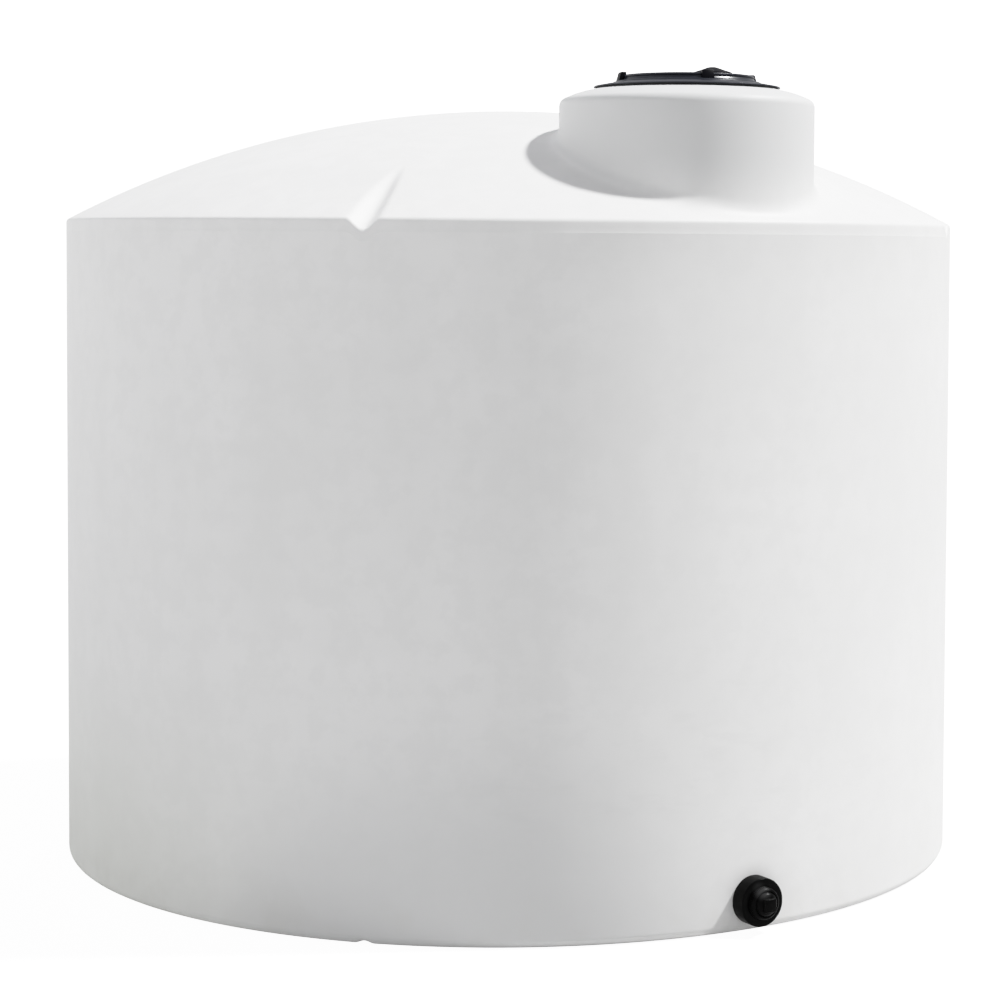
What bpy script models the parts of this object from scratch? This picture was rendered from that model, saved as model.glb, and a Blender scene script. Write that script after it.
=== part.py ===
"""Vertical storage tank of rotomoulded polyethylene, about 2.3 m across and 2 m tall.

Metres, +Z up. The origin is the middle of the floor's underside. The outlet fitting is towards
-Y and the manway stands over it. An azimuth is counted from -Y towards +X.
"""

import math

import bmesh
import bpy
from mathutils import Matrix, Vector

# Shell
TANK_RADIUS = 1.143
SHOULDER_HEIGHT = 1.616
DOME_RISE = 0.290
WALL = 0.008
KNUCKLE_RADIUS = 0.022
SHOULDER_RADIUS = 0.012
SKIRT = 0.044
SEAT_GAP = 0.0003
SEGMENTS = 12
FACETS = 7
TURN_STEPS = SEGMENTS * FACETS
DOME_STEPS = 9
KNUCKLE_STEPS = 3
CORNER_STEPS = 2
CUTTER_OVERRUN = 0.024

# Lashing grooves, pressed into the shoulder so that a strap over the roof can't slip
GROOVES = 4
FIRST_GROOVE_AZIMUTH = math.radians(-45.6)
GROOVE_DEPTH = 0.027
GROOVE_INNER_RADIUS = 0.900
GROOVE_HALF_FLOOR = 0.008
GROOVE_FLANK = 1.0
GROOVE_HEADROOM = 0.10
GROOVE_OVERRUN = 0.06

# Manway: a round tower moulded on the roof, a threaded ring in its top, and a screwed lid
MANWAY_DISTANCE = 0.813
MANWAY_AZIMUTH = math.radians(1.3)
TOWER_RADIUS = 0.301
TOWER_WALL_TOP = 1.884
TOWER_CORNER = 0.022
TOWER_CORNER_STEPS = 3
LAND_HEIGHT = 1.924
LAND_RADIUS = 0.225
MANWAY_STEPS = 48
RING_BORE_RADIUS = 0.203
RING_OUTER_RADIUS = 0.2085
RING_CLEARANCE = 0.0005
RING_DEPTH = 0.036
RING_LIP_RADIUS = 0.214
RING_LIP = 0.003
GASKET_THICKNESS = 0.002
LID_RADIUS = 0.220
LID_RIM = 0.003
LID_FLANGE_RISE = 0.008
LID_CROWN_FOOT = 0.174
LID_CROWN_TOP = 0.156
LID_CROWN_HEIGHT = 0.033
LID_RECESS = 0.007
LID_PLATE = 0.005
LID_SKIRT_RADIUS = 0.198
LID_SKIRT_WALL = 0.005
LID_SKIRT_DEPTH = 0.030
LUGS = 4
FIRST_LUG_AZIMUTH = math.radians(-15.8)
LUG_WIDTH = 0.014
VENT_AZIMUTH = math.radians(29.2)
VENT_DISTANCE = 0.067
VENT_RADIUS = 0.058
VENT_TOP_RADIUS = 0.012
VENT_STEM_RADIUS = 0.020
VENT_HEIGHT = 0.024
VENT_STEPS = 24

# Outlet: a two-inch bulkhead fitting with a threaded plug
OUTLET_HEIGHT = 0.074
OUTLET_STEPS = 32
BARREL_RADIUS = 0.0370
BARREL_HOLE_RADIUS = 0.0375
PORT_RADIUS = 0.0285
BARREL_REACH = 0.056
FLANGE_RADIUS = 0.056
FLANGE_THICKNESS = 0.010
OUTLET_GASKET_RADIUS = 0.048
OUTLET_GASKET_THICKNESS = 0.004
NUT_CORNER_RADIUS = 0.0560
NUT_SIDES = 8
NUT_THICKNESS = 0.040
NUT_CHAMFER = 0.007
PLUG_RADIUS = 0.0282
PLUG_DEPTH = 0.028
PLUG_PROUD = 0.003
PLUG_HEAD_SIDE = 0.032
PLUG_HEAD = 0.015

# Worked out from the above
DOME_RADIUS = (TANK_RADIUS**2 + DOME_RISE**2) / (2 * DOME_RISE)
DOME_CENTRE = SHOULDER_HEIGHT + DOME_RISE - DOME_RADIUS
PARTING_HEIGHT = SHOULDER_HEIGHT - SKIRT
FACET_ANGLE = 2 * math.pi / TURN_STEPS
WALL_FACE = TANK_RADIUS * math.cos(FACET_ANGLE / 2)
INNER_FACE = (TANK_RADIUS - WALL) * math.cos(FACET_ANGLE / 2)
MANWAY_CENTRE = Vector((
    MANWAY_DISTANCE * math.sin(MANWAY_AZIMUTH), -MANWAY_DISTANCE * math.cos(MANWAY_AZIMUTH), 0,
))
LIP_TOP = LAND_HEIGHT + SEAT_GAP + RING_LIP
LID_SEAT = LIP_TOP + GASKET_THICKNESS + 2 * SEAT_GAP
LID_PLATE_TOP = LID_SEAT + LID_CROWN_HEIGHT - LID_RECESS
SMOOTH_ANGLE = math.radians(35)


def clear_scene():
    for thing in list(bpy.data.objects):
        bpy.data.objects.remove(thing, do_unlink=True)


def plastic(name, colour, roughness):
    made = bpy.data.materials.new(name)
    made.use_nodes = True
    shader = made.node_tree.nodes["Principled BSDF"]
    shader.inputs["Base Color"].default_value = (*colour, 1)
    shader.inputs["Roughness"].default_value = roughness
    shader.inputs["Metallic"].default_value = 0
    return made


def direction(azimuth):
    return Vector((math.sin(azimuth), -math.cos(azimuth), 0))


def add_object(name, bm, material=None, smooth=True):
    bmesh.ops.remove_doubles(bm, verts=bm.verts, dist=1e-6)
    bmesh.ops.recalc_face_normals(bm, faces=bm.faces)
    mesh = bpy.data.meshes.new(name)
    bm.to_mesh(mesh)
    bm.free()
    if smooth:
        mesh.shade_smooth()
        mesh.set_sharp_from_angle(angle=SMOOTH_ANGLE)
    if material:
        mesh.materials.append(material)
    made = bpy.data.objects.new(name, mesh)
    bpy.context.scene.collection.objects.link(made)
    return made


def as_cutter(made):
    made.hide_render = True
    made.display_type = "WIRE"
    return made


def combine(target, other, operation):
    step = target.modifiers.new(f"{operation.lower()} {other.name}", "BOOLEAN")
    step.operation = operation
    step.solver = "EXACT"
    step.object = other


def arc(centre, radius, start, end, steps):
    """Points (radius, height) on an arc; angles count up from the horizontal."""
    points = []
    for i in range(steps + 1):
        angle = start + (end - start) * i / steps
        points.append((centre[0] + radius * math.cos(angle), centre[1] + radius * math.sin(angle)))
    return points


def profile_edges(bm, outline, closed, start):
    """The outline as edges in the upright plane at one azimuth."""
    heading = direction(start)
    verts = [bm.verts.new((heading.x * r, heading.y * r, z)) for r, z in outline]
    pairs = list(zip(verts, verts[1:]))
    if closed:
        pairs.append((verts[-1], verts[0]))
    return verts, [bm.edges.new(pair) for pair in pairs]


def turned(name, outline, material=None, closed=True, centre=Vector(), steps=MANWAY_STEPS):
    """A full turn of an outline about an upright axis."""
    bm = bmesh.new()
    verts, edges = profile_edges(bm, outline, closed, 0)
    bmesh.ops.spin(
        bm, geom=verts + edges, cent=(0, 0, 0), axis=(0, 0, 1), angle=2 * math.pi,
        steps=steps, use_merge=True,
    )
    made = add_object(name, bm, material)
    made.location = centre
    return made


def swept(name, outline, start, end, steps, material):
    """Part of a turn of a closed outline about +Z, with both ends filled."""
    bm = bmesh.new()
    verts, edges = profile_edges(bm, outline, True, start)
    bmesh.ops.spin(
        bm, geom=verts + edges, cent=(0, 0, 0), axis=(0, 0, 1), angle=end - start,
        steps=steps, use_merge=False,
    )
    bmesh.ops.holes_fill(bm, edges=[e for e in bm.edges if e.is_boundary], sides=0)
    return add_object(name, bm, material)


def dome_outline(inset, foot):
    """From the crown of the roof down to its skirt, inset from the outer surface."""
    reach = TANK_RADIUS - SHOULDER_RADIUS
    corner_height = DOME_CENTRE + math.sqrt((DOME_RADIUS - SHOULDER_RADIUS) ** 2 - reach**2)
    meeting = math.atan2(corner_height - DOME_CENTRE, reach)
    crown = arc((0, DOME_CENTRE), DOME_RADIUS - inset, math.pi / 2, meeting, DOME_STEPS)
    corner = arc((reach, corner_height), SHOULDER_RADIUS - inset, meeting, 0, CORNER_STEPS)
    return [(0, crown[0][1])] + crown[1:] + corner[1:] + [(TANK_RADIUS - inset, foot), (0, foot)]


def dome_solid(name, inset, foot, material=None):
    made = turned(name, dome_outline(inset, foot), material, closed=False, steps=TURN_STEPS)
    made.rotation_euler.z = FACET_ANGLE / 2
    return made


def groove_cutter(name, inset):
    """Four V-shaped prisms whose floors run straight from the roof out through the shoulder."""
    floor_half = GROOVE_HALF_FLOOR + inset * (math.hypot(1, GROOVE_FLANK) - GROOVE_FLANK)
    top_half = (
        GROOVE_HALF_FLOOR + GROOVE_FLANK * GROOVE_HEADROOM + inset * math.hypot(1, GROOVE_FLANK)
    )
    section = [
        (-floor_half, -inset), (floor_half, -inset),
        (top_half, GROOVE_HEADROOM), (-top_half, GROOVE_HEADROOM),
    ]
    inner_height = DOME_CENTRE + math.sqrt(DOME_RADIUS**2 - GROOVE_INNER_RADIUS**2)
    outer_height = SHOULDER_HEIGHT - GROOVE_DEPTH
    slope = (outer_height - inner_height) / (TANK_RADIUS - GROOVE_INNER_RADIUS)
    near = GROOVE_INNER_RADIUS - GROOVE_OVERRUN
    far = TANK_RADIUS + GROOVE_OVERRUN
    bm = bmesh.new()
    for i in range(GROOVES):
        azimuth = FIRST_GROOVE_AZIMUTH + i * 2 * math.pi / GROOVES
        out = direction(azimuth)
        side = Vector((-out.y, out.x, 0))
        start = out * near + Vector((0, 0, inner_height - slope * GROOVE_OVERRUN))
        face = bm.faces.new(
            [bm.verts.new(start + side * x + Vector((0, 0, z))) for x, z in section]
        )
        grown = bmesh.ops.extrude_face_region(bm, geom=[face], use_keep_orig=True)
        bmesh.ops.translate(
            bm,
            verts=[v for v in grown["geom"] if isinstance(v, bmesh.types.BMVert)],
            vec=out * (far - near) + Vector((0, 0, slope * (far - near))),
        )
    return as_cutter(add_object(name, bm, smooth=False))


def upright_drum(name, radius, low, high, centre, steps=MANWAY_STEPS):
    outline = [(0, low), (radius, low), (radius, high), (0, high)]
    return as_cutter(turned(name, outline, closed=False, centre=centre, steps=steps))


def make_floor(white):
    outline = [
        (0, 0), (TANK_RADIUS - KNUCKLE_RADIUS - SEAT_GAP, 0),
        (TANK_RADIUS - KNUCKLE_RADIUS - SEAT_GAP, WALL), (0, WALL),
    ]
    made = turned("tank_floor", outline, white, closed=False, steps=TURN_STEPS)
    made.rotation_euler.z = FACET_ANGLE / 2


def make_walls(white, outlet_hole):
    """Twelve staves, each with its stretch of the rounded foot."""
    foot = (TANK_RADIUS - KNUCKLE_RADIUS, KNUCKLE_RADIUS)
    top = PARTING_HEIGHT - SEAT_GAP
    outline = [(TANK_RADIUS, top)]
    outline += arc(foot, KNUCKLE_RADIUS, 0, -math.pi / 2, KNUCKLE_STEPS)
    outline += arc(foot, KNUCKLE_RADIUS - WALL, -math.pi / 2, 0, KNUCKLE_STEPS)
    outline += [(TANK_RADIUS - WALL, top)]
    half = math.pi / SEGMENTS
    play = SEAT_GAP / 2 / TANK_RADIUS
    for i in range(SEGMENTS):
        middle = i * 2 * half
        stave = swept(
            f"wall_{i + 1:02d}", outline, middle - half + play, middle + half - play, FACETS, white
        )
        if i == 0:
            combine(stave, outlet_hole, "DIFFERENCE")


def make_roof(white):
    roof = dome_solid("roof", 0, PARTING_HEIGHT, white)
    combine(roof, groove_cutter("groove_cut", 0), "DIFFERENCE")
    hollow = as_cutter(dome_solid("roof_hollow_cut", WALL, PARTING_HEIGHT - SKIRT))
    combine(hollow, groove_cutter("groove_backing_cut", WALL), "DIFFERENCE")
    combine(roof, hollow, "DIFFERENCE")
    throat = upright_drum(
        "throat_cut", TOWER_RADIUS - WALL, PARTING_HEIGHT, LAND_HEIGHT, MANWAY_CENTRE
    )
    combine(roof, throat, "DIFFERENCE")


def make_tower(white):
    """The upright wall stands on the roof; the sloping top sits on the wall."""
    inner = TOWER_RADIUS - WALL
    wall_outline = [
        (inner, PARTING_HEIGHT), (TOWER_RADIUS, PARTING_HEIGHT),
        (TOWER_RADIUS, TOWER_WALL_TOP), (inner, TOWER_WALL_TOP),
    ]
    wall = turned("manway_wall", wall_outline, white, centre=MANWAY_CENTRE)
    combine(wall, as_cutter(dome_solid("tower_foot_cut", -SEAT_GAP, 0)), "DIFFERENCE")

    foot = TOWER_WALL_TOP + SEAT_GAP
    hole = RING_OUTER_RADIUS + RING_CLEARANCE
    corner_centre = (TOWER_RADIUS - TOWER_CORNER, foot)
    lean = math.atan2(LAND_HEIGHT - foot - TOWER_CORNER, TOWER_RADIUS - TOWER_CORNER - LAND_RADIUS)
    turn = math.pi / 2 - lean
    top_outline = arc(corner_centre, TOWER_CORNER, 0, turn, TOWER_CORNER_STEPS)
    top_outline += [
        (LAND_RADIUS, LAND_HEIGHT), (hole, LAND_HEIGHT), (hole, LAND_HEIGHT - WALL),
        (LAND_RADIUS, LAND_HEIGHT - WALL),
    ]
    top_outline += arc(corner_centre, TOWER_CORNER - WALL, turn, 0, TOWER_CORNER_STEPS)
    turned("manway_top", top_outline, white, centre=MANWAY_CENTRE)


def make_manway_ring(black):
    seat = LAND_HEIGHT + SEAT_GAP
    outline = [
        (RING_BORE_RADIUS, seat - RING_DEPTH), (RING_OUTER_RADIUS, seat - RING_DEPTH),
        (RING_OUTER_RADIUS, seat), (RING_LIP_RADIUS, seat),
        (RING_LIP_RADIUS, LIP_TOP), (RING_BORE_RADIUS, LIP_TOP),
    ]
    turned("manway_ring", outline, black, centre=MANWAY_CENTRE)


def make_lid_gasket(rubber):
    low = LIP_TOP + SEAT_GAP
    outline = [
        (RING_BORE_RADIUS, low), (RING_LIP_RADIUS, low),
        (RING_LIP_RADIUS, low + GASKET_THICKNESS), (RING_BORE_RADIUS, low + GASKET_THICKNESS),
    ]
    turned("lid_gasket", outline, rubber, centre=MANWAY_CENTRE)


def make_lid(black):
    """Flange, raised crown with a sunk top, threaded skirt below, and four grip lugs."""
    crown_top = LID_SEAT + LID_CROWN_HEIGHT
    crown_foot = LID_SEAT + LID_RIM + LID_FLANGE_RISE
    rim = LID_PLATE
    outline = [
        (0, LID_PLATE_TOP), (LID_CROWN_TOP - 3 * rim, LID_PLATE_TOP),
        (LID_CROWN_TOP - 2 * rim, crown_top), (LID_CROWN_TOP, crown_top),
        (LID_CROWN_FOOT, crown_foot), (LID_RADIUS, LID_SEAT + LID_RIM), (LID_RADIUS, LID_SEAT),
        (LID_SKIRT_RADIUS, LID_SEAT), (LID_SKIRT_RADIUS, LID_SEAT - LID_SKIRT_DEPTH),
        (LID_SKIRT_RADIUS - LID_SKIRT_WALL, LID_SEAT - LID_SKIRT_DEPTH),
        (LID_SKIRT_RADIUS - LID_SKIRT_WALL, LID_SEAT), (LID_CROWN_FOOT - rim, crown_foot - rim),
        (LID_CROWN_TOP - rim, LID_PLATE_TOP - rim), (0, LID_PLATE_TOP - rim),
    ]
    lid = turned("lid", outline, black, closed=False, centre=MANWAY_CENTRE)
    bm = bmesh.new()
    for i in range(LUGS):
        azimuth = FIRST_LUG_AZIMUTH + i * 2 * math.pi / LUGS
        long = LID_CROWN_FOOT - LID_CROWN_TOP + 2 * rim
        tall = crown_top - crown_foot + rim / 2
        middle = direction(azimuth) * (LID_CROWN_FOOT - long / 2 + rim / 2)
        place = Matrix.Translation(MANWAY_CENTRE + middle + Vector((0, 0, crown_top - rim / 2 - tall / 2)))
        place = place @ Matrix.Rotation(azimuth, 4, "Z") @ Matrix.Diagonal((LUG_WIDTH, long, tall, 1))
        bmesh.ops.create_cube(bm, size=1, matrix=place)
    lugs = as_cutter(add_object("lug_shapes", bm, smooth=False))
    combine(lid, lugs, "UNION")


def make_vent(black):
    low = LID_PLATE_TOP + SEAT_GAP
    brim = low + VENT_HEIGHT / 3
    centre = MANWAY_CENTRE + direction(VENT_AZIMUTH) * VENT_DISTANCE
    outline = [(0, low), (VENT_STEM_RADIUS, low), (VENT_STEM_RADIUS, brim), (VENT_RADIUS, brim)]
    outline += [
        (VENT_RADIUS, brim + VENT_HEIGHT / 3), (VENT_TOP_RADIUS, low + VENT_HEIGHT),
        (0, low + VENT_HEIGHT),
    ]
    turned("vent_cap", outline, black, closed=False, centre=centre, steps=VENT_STEPS)


def along_outlet(made):
    """Lays a piece turned about +Z along the outlet's axis; its height becomes -Y."""
    made.rotation_euler.x = math.pi / 2
    made.location = (0, 0, OUTLET_HEIGHT)
    return made


def make_outlet(black, rubber):
    """Flange and gasket inside the tank, a barrel through the wall, and the nut outside."""
    flange_back = INNER_FACE - SEAT_GAP - OUTLET_GASKET_THICKNESS - SEAT_GAP
    end = WALL_FACE + BARREL_REACH
    body = [
        (PORT_RADIUS, flange_back - FLANGE_THICKNESS), (FLANGE_RADIUS, flange_back - FLANGE_THICKNESS),
        (FLANGE_RADIUS, flange_back), (BARREL_RADIUS, flange_back),
        (BARREL_RADIUS, end), (PORT_RADIUS, end),
    ]
    along_outlet(turned("outlet_body", body, black, steps=OUTLET_STEPS))

    low, high = flange_back + SEAT_GAP, INNER_FACE + WALL / 2
    ring = [
        (BARREL_HOLE_RADIUS, low), (OUTLET_GASKET_RADIUS, low),
        (OUTLET_GASKET_RADIUS, high), (BARREL_HOLE_RADIUS, high),
    ]
    gasket = along_outlet(turned("outlet_gasket", ring, rubber, steps=OUTLET_STEPS))
    bore = upright_drum(
        "tank_bore_cut", TANK_RADIUS - WALL - SEAT_GAP, -WALL, PARTING_HEIGHT, Vector(), TURN_STEPS
    )
    bore.rotation_euler.z = FACET_ANGLE / 2
    combine(gasket, bore, "INTERSECT")

    low = WALL_FACE + SEAT_GAP
    nut_outline = [
        (BARREL_HOLE_RADIUS, low), (NUT_CORNER_RADIUS, low),
        (NUT_CORNER_RADIUS, low + NUT_THICKNESS - NUT_CHAMFER),
        (NUT_CORNER_RADIUS - NUT_CHAMFER, low + NUT_THICKNESS), (BARREL_HOLE_RADIUS, low + NUT_THICKNESS),
    ]
    nut = along_outlet(turned("outlet_nut", nut_outline, black, steps=OUTLET_STEPS))
    bm = bmesh.new()
    bmesh.ops.create_cone(
        bm, segments=NUT_SIDES, radius1=NUT_CORNER_RADIUS, radius2=NUT_CORNER_RADIUS,
        depth=4 * NUT_THICKNESS, cap_ends=True,
        matrix=Matrix.Translation((0, 0, WALL_FACE)) @ Matrix.Rotation(math.pi / NUT_SIDES, 4, "Z"),
    )
    sides = along_outlet(as_cutter(add_object("nut_sides_cut", bm, smooth=False)))
    combine(nut, sides, "INTERSECT")


def make_plug(black):
    """A threaded plug that stands a little proud of the port, with a square head for a wrench."""
    end = WALL_FACE + BARREL_REACH
    top = end + PLUG_PROUD
    outline = [(0, end - PLUG_DEPTH), (PLUG_RADIUS, end - PLUG_DEPTH), (PLUG_RADIUS, top), (0, top)]
    plug = along_outlet(turned("outlet_plug", outline, black, closed=False, steps=OUTLET_STEPS))
    bm = bmesh.new()
    height = PLUG_HEAD + PLUG_PROUD
    place = Matrix.Translation((0, 0, end + height / 2))
    bmesh.ops.create_cube(
        bm, size=1, matrix=place @ Matrix.Diagonal((PLUG_HEAD_SIDE, PLUG_HEAD_SIDE, height, 1))
    )
    head = along_outlet(as_cutter(add_object("plug_head_shape", bm, smooth=False)))
    combine(plug, head, "UNION")


def main():
    clear_scene()
    white = plastic("white_polyethylene", (0.80, 0.81, 0.80), 0.45)
    black = plastic("black_polypropylene", (0.015, 0.016, 0.018), 0.38)
    rubber = plastic("black_rubber", (0.02, 0.02, 0.02), 0.75)
    outlet_hole = upright_drum(
        "outlet_hole_cut", BARREL_HOLE_RADIUS, WALL_FACE - CUTTER_OVERRUN, WALL_FACE + CUTTER_OVERRUN,
        Vector(), OUTLET_STEPS,
    )
    along_outlet(outlet_hole)
    make_floor(white)
    make_walls(white, outlet_hole)
    make_roof(white)
    make_tower(white)
    make_manway_ring(black)
    make_lid_gasket(rubber)
    make_lid(black)
    make_vent(black)
    make_outlet(black, rubber)
    make_plug(black)


main()
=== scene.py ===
# %% [markdown]
# # An upright tank for liquids, moulded in white polyethylene
# The real tank is one hollow moulding: powder melts onto the inside of a hot steel mould that
# turns slowly, so every corner comes out rounded and the wall is about 8 mm thick all over. A
# black screwed lid closes the manway on the roof and a black fitting lets the liquid out below.
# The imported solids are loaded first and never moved. Everything made here sits in their frame,
# in metres: the tank stands on z = 0, and the manway and the outlet are towards -Y.

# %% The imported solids
import math

import bmesh
import bpy
from mathutils import Matrix, Vector


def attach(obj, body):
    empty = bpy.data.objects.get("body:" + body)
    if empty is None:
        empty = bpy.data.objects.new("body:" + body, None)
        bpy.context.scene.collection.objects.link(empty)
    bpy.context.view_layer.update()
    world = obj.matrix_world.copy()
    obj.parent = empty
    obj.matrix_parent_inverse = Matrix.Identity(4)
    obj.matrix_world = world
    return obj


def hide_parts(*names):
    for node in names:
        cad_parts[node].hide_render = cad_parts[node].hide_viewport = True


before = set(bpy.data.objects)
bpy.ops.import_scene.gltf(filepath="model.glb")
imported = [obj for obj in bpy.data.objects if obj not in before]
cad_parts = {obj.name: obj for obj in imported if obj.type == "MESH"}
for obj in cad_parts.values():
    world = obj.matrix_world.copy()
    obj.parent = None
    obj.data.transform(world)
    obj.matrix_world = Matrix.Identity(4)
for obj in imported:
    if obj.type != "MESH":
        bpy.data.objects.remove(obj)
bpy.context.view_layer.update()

# %% [markdown]
# ## The camera
# A photograph fixes its camera: the sides of the tank lean in a little towards the ground and
# the rim is almost a straight line, so the lens was nearly level with the rim. The picture was
# cut out of a wider one, off its middle, and a lens aimed straight at the tank can't give the
# foot's line and the rim's together. So the lens is shifted sideways and down, as in a cut
# picture. The distance, the focal length and the shift were fitted to the outline, and the
# camera is turned about the tank's axis so that it sees the manway and the outlet on the right.

# %% Camera at the photograph's place
CAMERA_TURN = math.radians(-29.0)
CAMERA_DISTANCE = 6.7475
CAMERA_HEIGHT = 1.5553
CAMERA_YAW = math.radians(2.8706)
CAMERA_PITCH = math.radians(-2.8296)
CAMERA_ROLL = math.radians(0.3701)
CAMERA_SHIFT = (-0.1397, -0.1261)
LENS_MM = 92.197
SENSOR_MM = 36


def make_camera():
    lens = bpy.data.cameras.new("camera")
    lens.sensor_width = SENSOR_MM
    lens.lens = LENS_MM
    lens.shift_x, lens.shift_y = CAMERA_SHIFT
    camera = bpy.data.objects.new("camera", lens)
    bpy.context.scene.collection.objects.link(camera)
    aim = (
        Matrix.Rotation(-CAMERA_YAW, 4, "Z") @ Matrix.Rotation(math.pi / 2 + CAMERA_PITCH, 4, "X")
        @ Matrix.Rotation(CAMERA_ROLL, 4, "Z")
    )
    spot = Matrix.Translation((0, -CAMERA_DISTANCE, CAMERA_HEIGHT))
    camera.matrix_world = Matrix.Rotation(CAMERA_TURN, 4, "Z") @ spot @ aim
    bpy.context.scene.camera = camera
    return camera


camera = make_camera()
print("camera at", tuple(round(v, 3) for v in camera.matrix_world.translation))

# %% [markdown]
# ## Shader maths as sums
# A finish is a graph of nodes. Wiring Math nodes by hand hides what they work out, so a socket
# is wrapped in a small class whose operators add the nodes: `1 - mask * 0.4` reads like the sum
# that it is. Every other node comes from one method, which takes its settings and its sockets.

# %% Sockets that can be added and multiplied
class Value:
    """One output socket of a graph; each operator here adds the Math node that does it."""

    def __init__(self, graph, socket):
        self.graph = graph
        self.socket = socket

    def sum_with(self, operation, first, second):
        return self.graph.add("ShaderNodeMath", {"operation": operation}, {0: first, 1: second})

    def __add__(self, other):
        return self.sum_with("ADD", self, other)

    def __radd__(self, other):
        return self.sum_with("ADD", other, self)

    def __sub__(self, other):
        return self.sum_with("SUBTRACT", self, other)

    def __rsub__(self, other):
        return self.sum_with("SUBTRACT", other, self)

    def __mul__(self, other):
        return self.sum_with("MULTIPLY", self, other)

    def __rmul__(self, other):
        return self.sum_with("MULTIPLY", other, self)


class Graph:
    """The nodes of one material or of the world."""

    def __init__(self, owner):
        owner.use_nodes = True
        self.tree = owner.node_tree

    def add(self, kind, settings=None, sockets=None, output=0):
        node = self.tree.nodes.new(kind)
        for name, setting in (settings or {}).items():
            setattr(node, name, setting)
        self.fill(node, sockets or {})
        return Value(self, node.outputs[output])

    def fill(self, node, sockets):
        for name, given in sockets.items():
            if isinstance(given, Value):
                self.tree.links.new(given.socket, node.inputs[name])
            else:
                node.inputs[name].default_value = given

    def ramp(self, value, low, high):
        """0 below low, 1 above high, and a smooth step between."""
        return self.add(
            "ShaderNodeMapRange", {"interpolation_type": "SMOOTHSTEP", "clamp": True},
            {"Value": value, "From Min": low, "From Max": high},
        )

    def noise(self, vector, scale, detail=3.0, roughness=0.5):
        return self.add(
            "ShaderNodeTexNoise", None,
            {"Vector": vector, "Scale": scale, "Detail": detail, "Roughness": roughness},
        )

    def stretched(self, vector, scale):
        """The place with its axes scaled: a small number draws the pattern out along that axis."""
        return self.add("ShaderNodeMapping", None, {"Vector": vector, "Scale": scale})

    def mix(self, share, first, second):
        """Colour first where the share is 0, second where it is 1."""
        return self.add(
            "ShaderNodeMix", {"data_type": "RGBA"}, {0: share, 6: first, 7: second}, output=2
        )


def finish_of(name):
    """A new material, its graph, and its Principled shader."""
    material = bpy.data.materials.new(name)
    graph = Graph(material)
    return material, graph, graph.tree.nodes["Principled BSDF"]


# %% [markdown]
# ## White polyethylene
# The powder melts unevenly, so the natural white has soft clouds, fine flecks and faint upright
# streaks where rain has run. The foot is darker at the front, with a grey that fades out upwards,
# and a few rubs cross it near the outlet. Low on the side away from the sun a little yellow-green
# is painted on, as painted light reflected from the ground. The tower is painted slightly greyer
# than the rest, as painted shade: under the black lid no light shines through its wall from inside.
# An image would show its edges on so large a surface, so all of this is noise on Object
# coordinates: it has its real size in metres and runs on round the tank. Each mark is kept to its
# side by the angle round the axis and by the height. The surface copies the mould's blasted steel,
# which gives a satin gloss and a very fine grain.

# %% Natural white moulding
SHADED_SIDE = math.radians(-112)
DARKER_FOOT_SIDE = math.radians(-34)
RUBBED_SIDE = math.radians(-8)
CLOUD_GREY = (0.808, 0.806, 0.798, 1)
CLOUD_WHITE = (0.852, 0.849, 0.843, 1)
FLECK_GREY = (0.785, 0.783, 0.776, 1)
PAINTED_GROUND_LIGHT = (0.800, 0.812, 0.752, 1)
FRONT_FOOT_GREY = (0.665, 0.667, 0.665, 1)
RUB_GREY = (0.66, 0.66, 0.655, 1)
SPLASH_TAN = (0.62, 0.61, 0.57, 1)
TOWER_SHADE_GREY = (0.66, 0.662, 0.660, 1)


def heading(azimuth):
    """Level unit vector; azimuths count from -Y towards +X."""
    return Vector((math.sin(azimuth), -math.cos(azimuth), 0))


def towards(graph, way, azimuth):
    """1 where a direction points at an azimuth, -1 where it points away."""
    return graph.add(
        "ShaderNodeVectorMath", {"operation": "DOT_PRODUCT"}, {0: way, 1: heading(azimuth)},
        output="Value",
    )


MANWAY = heading(math.radians(1.3)) * 0.813


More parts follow.
